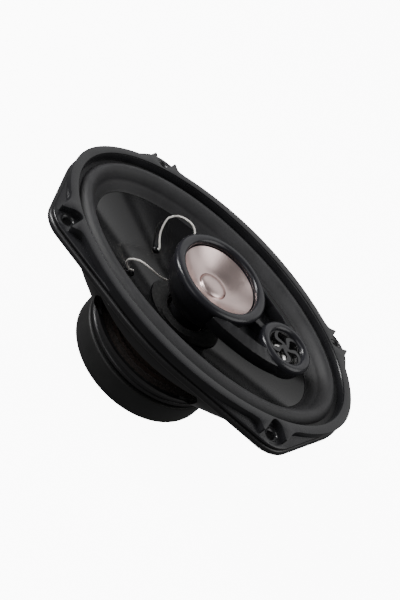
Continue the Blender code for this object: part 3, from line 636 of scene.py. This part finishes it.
def add_cone():
    """Gloss cone, felt collar round the post, and the former with its winding."""
    thick = 0.9
    shares = [(step / 24) ** 1.1 for step in range(25)]
    rings = [cone_ring(share) for share in shares]
    rings += [cone_ring(share, -thick) for share in reversed(shares)]
    stands_for(skin("cone_shell", rings, "cone"), "woofer", "cone", "cone")
    low, high = edges("dust_collar")
    crown = [(22.5, high.z - 0.5), (21.0, high.z - 0.15), (19.0, high.z), (17.0, high.z - 0.1),
             (16.0, high.z - 0.5), (15.6, high.z - 1.1), (15.9, high.z - 1.4), (20.0, high.z - 1.4)]
    rings = [cone_ring(0.17, 0.35), cone_ring(0.172, 0.8), cone_ring(0.165, 1.2)]
    rings += [oval(r, r, z) for r, z in crown]
    stands_for(skin("dust_collar_felt", rings, "collar"), "woofer", "collar", "dust_collar")
    low, high = edges("voice_coil_former")
    former = [(high.x - 0.5, low.z), (high.x, low.z), (high.x, high.z), (high.x - 0.5, high.z)]
    stands_for(turned("former_tube", former, "former"), "woofer", "former", "voice_coil_former")
    low, high = edges("voice_coil")
    stands_for(turned("coil_winding", winding(low.z, high.z, 15.3, high.x, 0.45), "copper"),
               "woofer", "copper", "voice_coil")


def winding(low, high, inner, outer, wire):
    """Profile of a coil whose outer side shows its turns."""
    profile = [(inner, low), (outer - wire / 2, low)]
    turns = int((high - low) / wire)
    pitch = (high - low) / turns
    for turn in range(turns):
        for step in range(1, 5):
            a = math.pi * step / 4
            profile.append((outer - wire / 2 + wire / 2 * math.sin(a),
                            low + pitch * (turn + (1 - math.cos(a)) / 2)))
    profile.append((inner, high))
    return profile


def add_spider():
    """Corrugated cloth disc from the former out to the frame's ledge."""
    inner, outer, rim = 15.3, 46.0, edges("spider")[1].x
    level, waves, thick = 30.3, 6, 0.7
    steps = waves * 12
    top = [(inner, level + 2.0), (inner + 0.4, level + 1.1)]
    for step in range(steps + 1):
        share = step / steps
        fade = min(1.0, 6 * share, 6 * (1 - share))
        height = 1.2 * fade * math.sin(TURN * waves * share)
        top.append((inner + 1.2 + (outer - inner - 1.2) * share, level + 0.8 + height))
    top.append((rim, level + 0.8))
    bottom = [(r, z - thick) for r, z in reversed(top)]
    disc = turned("spider_disc", top + bottom, "spider")

    def weight(place):
        share = (outer - math.hypot(place.x, place.y)) / (outer - inner)
        share = min(1.0, max(0.0, share))
        return share * share * (3 - 2 * share)

    flexes(disc, weight, "spider")


# ---------------------------------------------------------------- motor

def add_motor():
    """Rubber boot, plated top plate and the rivets through the frame's floor."""
    r, top = BOOT_HIGH.x, BOOT_HIGH.z
    boot = rounded([(9.0, 0.0, 0.3), (r, 0.0, 3.2), (r, top, 2.0), (49.0, top, 0.8),
                    (49.0, top - 1.6, 0.2), (50.6, top - 2.4, 0.2), (50.6, 1.9, 0.3), (9.0, 1.9, 0.3)],
                   steps=8)
    stands_for(turned("boot_cover", boot, "boot", 240), "frame", "boot", "magnet_boot")
    low, high = edges("top_plate")
    plate = rounded([(16.6, low.z, 0.3), (high.x, low.z, 0.5), (high.x, high.z, 0.5), (16.6, high.z, 0.3)])
    plate = turned("top_plate_disc", plate, "steel", 200)
    stands_for(plate, "frame", "steel", "top_plate")
    low, high = edges("magnet_ring")
    ring = rounded([(22.0, low.z, 0.5), (high.x, low.z, 0.9), (high.x, high.z, 0.9), (22.0, high.z, 0.5)])
    stands_for(turned("magnet_disc", ring, "ferrite", 200), "frame", "ferrite", "magnet_ring")
    low, high = edges("back_plate")
    pole = rounded([(5.0, low.z, 0.6), (42.5, low.z, 0.4), (44.0, 3.7, 0.5), (44.0, 7.2, 0.4),
                    (13.9, 7.2, 0.2), (13.9, high.z, 0.8), (5.0, high.z, 0.6)])
    stands_for(turned("back_plate_pole", pole, "steel", 160), "frame", "steel", "back_plate")
    for number in range(1, 5):
        node = f"plate_rivet_{number}"
        low, high = edges(node)
        x, y = (low.x + high.x) / 2, (low.y + high.y) / 2
        head = [(0.0, low.z), (1.8, low.z), (1.8, high.z - 1.6)]
        head += [(3.4 * math.cos(a), high.z - 1.6 + 1.6 * math.sin(a)) for a in
                 (math.pi / 2 * step / 8 for step in range(8))] + [(0.0, high.z)]
        rivet = turned(f"rivet_{number}", head, "silver", 40)
        rivet.data.transform(Matrix.Translation((x * MM, y * MM, 0.0)))
        stands_for(rivet, "frame", "silver", node)


def add_post():
    """Sleeve with one turned groove between the pole and the pod, and the bolt through it."""
    low, high = edges("pod_post")
    r = high.x
    sleeve = rounded([(3.0, low.z, 0.3), (r, low.z, 0.6), (r, high.z - 3.4, 0.3),
                      (r - 0.5, high.z - 3.0, 0.3), (r - 0.5, high.z - 1.8, 0.3), (r, high.z - 1.4, 0.3),
                      (r, high.z, 0.5), (3.0, high.z, 0.3)])
    stands_for(turned("post_sleeve", sleeve, "post"), "frame", "post", "pod_post")
    low, high = edges("post_bolt")
    shank, head = 1.9, high.x
    socket = [(0.0, low.z + 1.1), (2.6, low.z + 1.1), (2.6, low.z)]
    bolt = socket + rounded([(head, low.z, 0.8), (head, low.z + 1.5, 0.2)], closed=False)
    bolt += [(shank, low.z + 1.5), (shank, high.z - 0.6), (shank - 0.6, high.z), (0.0, high.z)]
    stands_for(turned("bolt_turned", bolt, "silver", 72), "frame", "silver", "post_bolt")


# ---------------------------------------------------------------- pod

def rail_outline(side):
    """Stations of one arm rail, each as its outer foot, outer edge, inner edge and inner foot."""
    outer = [(14.0, 33.0), (22.0, 32.6), (30.0, 31.2), (38.0, 29.5), (45.0, 27.6), (52.0, 25.0), (58.0, 22.2),
             (64.0, 18.4), (69.0, 14.4), (73.0, 10.0)]
    inner = [(17.0, 28.6), (22.5, 26.4), (28.0, 24.2), (34.0, 22.6), (40.0, 20.9), (46.0, 19.2), (52.0, 16.0),
             (57.0, 12.8), (62.0, 10.4), (66.0, 7.0)]
    low, high, crest = edges("pod_housing")[1].z - 8.5, 91.1, 92.6
    stations = []
    for (ax, ay), (bx, by) in zip(smooth2(outer), smooth2(inner)):
        stations.append([(ax - 0.6, side * (ay - 0.6), low), (ax, side * ay, low + 1.0),
                         (ax, side * ay, high - 0.4), (ax - 0.15, side * (ay - 0.35), high),
                         (bx + 0.3, side * (by + 0.3), crest),
                         (bx, side * by, crest - 0.3), (bx, side * by, low)])
    return stations


def smooth2(points, pieces=5):
    """Flat points along a Catmull-Rom curve through the given ones."""
    return [(p.x, p.y) for p in smooth_route([(x, y, 0.0) for x, y in points], pieces)]


def add_pod():
    """One moulding: mid-range cup, bridge arm with two rails and a rib, tweeter cup."""
    low = edges("pod_housing")[0]
    r_in, r_out, top = 30.4, 32.6, 90.4
    cup = [(2.5, low.z, 0.2), (20.0, low.z, 0.8), (21.6, low.z + 1.2, 0.6), (25.0, 70.2, 2.0),
           (31.4, 79.6, 4.0), (r_out, 86.0, 1.5), (r_out, top, 0.3), (r_in, top, 0.3),
           (r_in, 86.0, 1.5), (28.8, 80.0, 3.0),
           (22.2, 70.8, 2.0), (17.5, 67.4, 0.8), (2.5, 67.4, 0.2)]
    pod = turned("pod_moulding", rounded(cup), "pod", 160)
    floor = 83.4
    boat = [(x, y) for x, y in smooth2([(14.0, 32.6), (22.0, 32.2), (38.0, 29.1), (52.0, 24.6), (64.0, 18.0),
                                        (73.0, 9.6), (75.8, 0.0)])]
    outline = boat[:-1] + [(x, -y) for x, y in reversed(boat)]
    plate = prism("plate", outline, 81.9, floor)
    hollow = prism("hollow", small_circle(r_out - 1.0, 0, 0, 120), 75.0, 100.0)
    combine(plate, hollow)
    combine(pod, plate, "UNION")
    for side in (-1, 1):
        stations = rail_outline(side)
        if side < 0:
            stations = stations[::-1]
        combine(pod, skin("rail", stations, closed=False), "UNION")
    nose = turned("nose", rounded([(0.0, 79.8, 0.0), (15.6, 79.8, 1.2), (17.8, 81.8, 1.4),
                                   (TWEETER_R - 0.7, 89.2, 0.0), (0.0, 89.2, 0.0)], closed=False),
                  None, 96, TWEETER_X)
    combine(pod, nose, "UNION")
    rib = prism("rib", [(30.0, -2.6), (44.6, -2.0), (44.6, 2.0), (30.0, 2.6)], floor - 0.5, 90.2)
    combine(pod, rib, "UNION")
    well = prism("well", small_circle(15.4, TWEETER_X, 0, 96), 81.6, 100.0)
    seat = prism("seat", small_circle(TWEETER_R + 0.15, TWEETER_X, 0, 96), 88.8, 100.0)
    mid_seat = prism("mid_seat", small_circle(MID_R + 0.15, 0, 0, 160), top + 0.2, 100.0)
    mid_well = prism("mid_well", small_circle(r_in, 0, 0, 160), 85.0, 100.0)
    for cutter in (well, seat, mid_seat, mid_well):
        combine(pod, cutter)
    stands_for(eased(one_look(pod, "pod"), 0.3), "frame", "pod", "pod_housing")


def bezel_profile(inner, outer, back, front, brow, ledge):
    """Full round front that reaches in to brow, over a seat of radius inner up to ledge."""
    profile = [(inner, back), (outer - 0.3, back), (outer, back + 0.3)]
    base = back + 1.4
    span = outer - brow
    steps = 30
    for step in range(steps + 1):
        a = math.pi * step / steps
        profile.append((outer - span * (1 - math.cos(a)) / 2, base + (front - base) * math.sin(a) ** 0.8))
    if brow < inner - 0.1:
        profile += [(brow, ledge), (inner, ledge)]
    return profile


def add_mid_range():
    """Round bezel, rubber edge, and champagne cone with its dome."""
    profile = bezel_profile(27.5, MID_R, MID_LOW.z, MID_HIGH.z, 27.45, MID_LOW.z)
    stands_for(turned("mid_bezel_ring", profile, "bezel", 200), "frame", "bezel", "mid_bezel")
    cone_r = edges("mid_cone")[1].x
    rim_high = edges("mid_surround")[1]
    roll = [(cone_r + 0.3, 90.2)]
    roll += [(cone_r + 0.3 + (rim_high.x - cone_r - 0.3) * s / 12, 90.2 - 1.0 * math.sin(math.pi * s / 12))
             for s in range(1, 13)]
    roll += [(r, z - 0.5) for r, z in reversed(roll)]
    edge = turned("mid_surround_roll", roll, "rubber")

    def weight(place):
        share = (rim_high.x - math.hypot(place.x, place.y)) / (rim_high.x - cone_r - 0.3)
        return min(1.0, max(0.0, share))

    flexes(edge, weight, "mid_surround")
    cap_r = edges("mid_cap")[1].x
    low, high = edges("mid_cone")
    front = []
    steps = 28
    for step in range(steps + 1):
        share = step / steps
        r = cap_r + 0.3 + (cone_r - 0.4 - cap_r - 0.3) * share
        front.append((r, low.z + 0.8 + (high.z - low.z - 0.8) * share ** 1.45))
    front.append((cone_r - 0.1, high.z - 0.05))
    front.append((cone_r, high.z - 0.35))
    back = [(r, z - 0.7) for r, z in reversed(front)]
    stands_for(turned("mid_cone_shell", front + back, "pink", 200), "mid_range", "pink", "mid_cone")
    low, high = edges("mid_cap")
    dome = [(0.0, high.z - 0.8), (5.0, high.z - 1.5), (8.6, low.z), (cap_r, low.z), (cap_r, low.z + 0.55),
            (cap_r - 0.25, low.z + 0.75)]
    for step in range(1, 21):
        a = math.pi / 2 * step / 20
        r = 0.0 if step == 20 else (cap_r - 0.4) * math.cos(a)
        dome.append((r, low.z + 0.75 + (high.z - low.z - 0.75) * math.sin(a) ** 0.9))
    stands_for(turned("mid_cap_dome", dome, "pink", 144), "mid_range", "pink", "mid_cap")


def add_tweeter():
    """Round bezel, curved grille, bright dome and its bright ring."""
    ledge = edges("tweeter_grille")[1].z + GRILLE_LIFT + 0.1
    ring = bezel_profile(13.6, TWEETER_R, TWEETER_LOW.z, TWEETER_HIGH.z, 12.7, ledge)
    stands_for(turned("tweeter_bezel_ring", ring, "bezel", 160, TWEETER_X), "frame", "bezel", "tweeter_bezel")
    low, high = edges("tweeter_grille")
    low.z, high.z = low.z + GRILLE_LIFT, high.z + GRILLE_LIFT
    rim = rounded([(12.2, low.z, 0.3), (13.3, low.z, 0.2), (13.3, high.z, 0.3), (12.2, high.z, 0.4)])
    grille = turned("grille_spokes", rim, "grille", 120, TWEETER_X)
    for spoke in range(5):
        combine(grille, spoke_body(spoke, low.z + 0.1, high.z - 0.05), "UNION")
    hub = rounded([(0.0, low.z, 0.0), (3.1, low.z, 0.3), (3.1, high.z - 0.2, 0.5), (0.0, high.z, 0.0)],
                  closed=False)
    hub = turned("hub", hub, None, 48, TWEETER_X)
    combine(grille, hub, "UNION")
    stands_for(one_look(grille, "grille"), "frame", "grille", "tweeter_grille")
    low, high = edges("tweeter_dome")
    dome = [(0.0, high.z - 0.5), (4.6, high.z - 1.3), (6.8, low.z), (10.6, low.z), (10.6, low.z + 0.4),
            (10.2, low.z + 0.55), (8.0, low.z + 0.55), (7.5, low.z + 0.7)]
    for step in range(1, 21):
        a = math.pi / 2 * step / 20
        r = 0.0 if step == 20 else 7.2 * math.cos(a)
        dome.append((r, low.z + 0.7 + (high.z - low.z - 0.7) * math.sin(a)))
    dome = turned("tweeter_dome_shell", dome, "silver", 120, TWEETER_X)
    stands_for(dome, "tweeter", "silver", "tweeter_dome")


def spoke_body(number, low, high):
    """One curved spoke of the grille, wider at the rim."""
    sides = []
    for turn in (-1, 1):
        side = []
        for step in range(13):
            r = 2.4 + 10.4 * step / 12
            width = 1.25 + 0.9 * (step / 12) ** 2
            a = TURN * number / 5 + 0.55 * math.sin(math.pi * step / 12) + turn * width / r
            side.append((TWEETER_X + r * math.cos(a), r * math.sin(a)))
        sides.append(side)
    return prism("spoke", sides[0] + sides[1][::-1], low, high)


# ---------------------------------------------------------------- leads and terminals

def smooth_route(points, pieces):
    """Points along a Catmull-Rom curve through the given ones."""
    ends = [points[0]] + points + [points[-1]]
    route = []
    for p0, p1, p2, p3 in zip(ends, ends[1:], ends[2:], ends[3:]):
        p0, p1, p2, p3 = (Vector(p) for p in (p0, p1, p2, p3))
        for step in range(pieces):
            t = step / pieces
            route.append(0.5 * ((2 * p1) + (p2 - p0) * t + (2 * p0 - 5 * p1 + 4 * p2 - p3) * t ** 2
                                + (3 * p1 - p0 - 3 * p2 + p3) * t ** 3))
    route.append(Vector(points[-1]))
    return route


def evened(route, spacing):
    """A route's points again, at an even spacing along it."""
    lengths = [0.0]
    for a, b in zip(route, route[1:]):
        lengths.append(lengths[-1] + (b - a).length)
    count = max(2, round(lengths[-1] / spacing))
    even = []
    k = 0
    for step in range(count + 1):
        goal = lengths[-1] * step / count
        while k < len(lengths) - 2 and lengths[k + 1] < goal:
            k += 1
        share = (goal - lengths[k]) / max(1e-9, lengths[k + 1] - lengths[k])
        even.append(route[k].lerp(route[k + 1], min(1.0, share)))
    return even


def braid(name, points, strands=5, radius=0.7, pitch=4.2):
    """Strands twisted round a core along a route."""
    route = evened(smooth_route([tuple(p) for p in points], 12), 0.3)
    sides = []
    ahead = (route[1] - route[0]).normalized()
    side = ahead.orthogonal().normalized()
    for i, here in enumerate(route):
        ahead = (route[min(i + 1, len(route) - 1)] - route[max(i - 1, 0)]).normalized()
        side = (side - ahead * side.dot(ahead)).normalized()
        sides.append((here, side, ahead.cross(side)))
    bm = bmesh.new()
    thread = radius * 0.42
    lay = radius - thread
    tubes = [(lay, thread, TURN * strand / strands) for strand in range(strands)] + [(0.0, lay, 0.0)]
    for away, thick, phase in tubes:
        loops = []
        for i, (here, u, v) in enumerate(sides):
            a = phase + TURN * 0.3 * i / pitch
            middle = here + (u * math.cos(a) + v * math.sin(a)) * away
            loops.append([bm.verts.new(middle + (u * math.cos(b) + v * math.sin(b)) * thick)
                          for b in even_angles(7)])
        for low, high in zip(loops, loops[1:]):
            for i, vert in enumerate(low):
                j = (i + 1) % len(low)
                bm.faces.new((vert, low[j], high[j], high[i]))
        bm.faces.new(loops[0])
        bm.faces.new(loops[-1])
    return finished(name, bm, "tinsel", 60.0)


def add_leads():
    """Two loops in front of the cone and two leads behind it, each with one end at the cone, and glue at each
    eyelet.
    """
    for name, place in EYELETS.items():
        route = [off_cone(place, height) for height in LEAD_STARTS[name]] + FRONT_ROUTES[name]
        flexing_lead(f"front_lead_{name}", [Vector(p) for p in route])
        side = 3.0 if name == "far" else -3.0
        end = off_cone(place, -3.4)
        x = edges("rear_lead_" + name)[0].x + 0.5
        route = [Vector((x, side, 47.6)), Vector((x + 6, side, 50.5)), Vector((x + 17, side * 2.2, 50.0)),
                 Vector((end.x - 7, end.y - side * 0.9, 50.6)), end]
        flexing_lead(f"rear_lead_{name}", route)
        glue_blob(name, place)


def flexing_lead(node, route):
    """A braided lead along its route between its fixed end and the cone, in place of its CAD node."""
    lead = braid(node + "_braid", route)
    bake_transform(lead)
    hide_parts(node)


def glue_blob(name, place):
    """An uneven drop of black glue over the lead's eyelet, standing in for the eyelet."""
    turn = Vector((0.0, 0.0, 1.0)).rotation_difference(cone_normal(*place))
    foot = off_cone(place, 0.0)
    bm = bmesh.new()
    bmesh.ops.create_uvsphere(bm, u_segments=40, v_segments=24, radius=1.0)
    for vert in bm.verts:
        x, y, z = vert.co
        swell = 1.0 + 0.10 * math.sin(3 * math.atan2(y, x) + 1.0) + 0.06 * math.sin(5 * x + 2 * y)
        flat = Vector((x * 3.0 * swell, y * 2.5 * swell, max(z, -0.05) * 2.2 + 0.05))
        vert.co = foot + turn @ flat
    stands_for(finished(f"glue_{name}", bm, "glue"), "woofer", "silver", f"eyelet_{name}")


def add_terminals():
    """Connector block with a moulded skirt, two blades and the small capacitor."""
    low, high = edges("terminal_block")
    outline = rounded([(high.x, high.z - 12.0, 0.4), (high.x, low.z, 0.8), (low.x, low.z, 0.8),
                       (low.x, high.z - 2.2, 1.0), (low.x + 3.0, high.z - 0.4, 0.6)])
    ease = 0.5
    block = skin("connector_body", [[(x, y, z) for x, z in outline] for y in
                                    (low.y, low.y + ease, high.y - ease, high.y)], "connector", closed=False)
    combine(block, prism("way", [(-83.4, -5.0), (-78.6, -5.0), (-78.6, 5.0), (-83.4, 5.0)], 30.0, 60.0))
    stands_for(one_look(block, "connector"), "frame", "connector", "terminal_block")
    for node in ("terminal_positive", "terminal_negative"):
        low, high = edges(node)
        corners = [(high.x, low.y, 0.0), (high.x, high.y, 0.0), (low.x + 1.4, high.y, 0.8),
                   (low.x, high.y - 0.9, 0.4), (low.x, low.y + 0.9, 0.4), (low.x + 1.4, low.y, 0.8)]
        blade = prism(node + "_blade", rounded(corners), low.z, high.z, "brass")
        hole = small_circle(0.9, (low.x + high.x) / 2 - 1.0, (low.y + high.y) / 2, 32)
        combine(blade, prism("hole", hole, low.z - 1, high.z + 1))
        stands_for(one_look(blade, "brass"), "frame", "brass", node)
    low, high = edges("crossover_capacitor")
    r, x = (high.x - low.x) / 2, (high.x + low.x) / 2
    can = [(0.0, low.z), (r - 0.9, low.z), (r - 0.3, low.z + 0.2), (r, low.z + 0.6), (r, high.z - 1.8),
           (r - 0.35, high.z - 1.4), (r - 0.35, high.z - 1.1), (r, high.z - 0.7), (r - 0.3, high.z - 0.15),
           (r - 0.9, high.z), (0.0, high.z)]
    stands_for(turned("capacitor_can", can, "capacitor", 72, x), "frame", "capacitor", "crossover_capacitor")


def dress_inner_nodes():
    """CAD nodes inside the motors keep their shape and take the finished materials."""
    for node, look in {"post_nut": "silver", "mid_voice_coil": "copper", "mid_yoke": "steel",
                       "mid_magnet": "ferrite", "mid_top_plate": "steel", "tweeter_voice_coil": "copper",
                       "tweeter_yoke": "silver", "tweeter_magnet": "ferrite",
                       "tweeter_top_plate": "steel"}.items():
        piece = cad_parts[node]
        piece.data.materials.clear()
        piece.data.materials.append(LOOKS[look])


# ---------------------------------------------------------------- studio

def add_floor():
    """A wide white floor that glows but neither lights the object nor mirrors in it."""
    bm = bmesh.new()
    half = 4000.0
    corners = ((-half, -half), (half, -half), (half, half), (-half, half))
    bm.faces.new([bm.verts.new((x, y, -0.2)) for x, y in corners])
    floor = finished("floor", bm, None)
    look = grained("floor_paint", (0.9, 0.9, 0.9), 0.8, spread=0.05, grain=200.0, depth=0.00002, tint=0.01)
    shader = look.node_tree.nodes["Principled BSDF"]
    shader.inputs["Emission Color"].default_value = (1.0, 1.0, 1.0, 1.0)
    shader.inputs["Emission Strength"].default_value = FLOOR_GLOW
    floor.data.materials.append(look)
    floor.visible_diffuse = False
    floor.visible_glossy = False


def softbox(name, way, distance, width, height, glow):
    """A rectangular light of even brightness that faces the object from one direction."""
    centre = Vector((0.0, 0.0, 0.06))
    light = bpy.data.lights.new(name, "AREA")
    light.shape = "RECTANGLE"
    light.size = width
    light.size_y = height
    light.energy = glow * math.pi * width * height
    lamp = bpy.data.objects.new(name, light)
    way = Vector(way).normalized()
    lamp.location = centre + way * distance
    lamp.rotation_mode = "QUATERNION"
    lamp.rotation_quaternion = (-way).to_track_quat("-Z", "Y")
    lamp.visible_camera = False
    bpy.context.scene.collection.objects.link(lamp)


def add_lights():
    """Dim surroundings, a broad box overhead, one behind, a strip at the left and a fill."""
    world = bpy.data.worlds.new("studio")
    bpy.context.scene.world = world
    world.use_nodes = True
    world.node_tree.nodes["Background"].inputs["Color"].default_value = (1.0, 1.0, 1.0, 1.0)
    world.node_tree.nodes["Background"].inputs["Strength"].default_value = 0.12
    softbox("overhead", (0.66, 0.16, 0.74), 1.1, 0.8, 0.8, 2.0)
    softbox("behind", (0.0, 0.82, 0.57), 1.3, 1.7, 0.95, 0.75)
    softbox("strip", (-1.0, -0.1, 0.55), 1.1, 0.14, 0.9, 32.0)
    softbox("fill", (-0.5, -0.8, 0.7), 1.1, 0.6, 0.6, 1.5)


def add_camera():
    """The photographer's place: in front, above and rolled to one side."""
    camera = bpy.data.cameras.new("camera")
    camera.lens = LENS
    camera.sensor_width = SENSOR
    camera.shift_x, camera.shift_y = CAMERA_SHIFT
    camera.clip_start = 0.01
    forward = CAMERA_FORWARD.normalized()
    up = CAMERA_UP
    right = forward.cross(up).normalized()
    up = right.cross(forward)
    holder = bpy.data.objects.new("camera", camera)
    bpy.context.scene.collection.objects.link(holder)
    turn = Matrix((right, up, -forward)).transposed().to_4x4()
    holder.matrix_world = Matrix.Translation(CAMERA_PLACE) @ turn
    bpy.context.scene.camera = holder


add_camera()
add_floor()
add_lights()
add_basket()
add_trim_ring()
add_surround()
add_cone()
add_spider()
add_motor()
add_post()
add_pod()
add_mid_range()
add_tweeter()
add_leads()
add_terminals()
dress_inner_nodes()
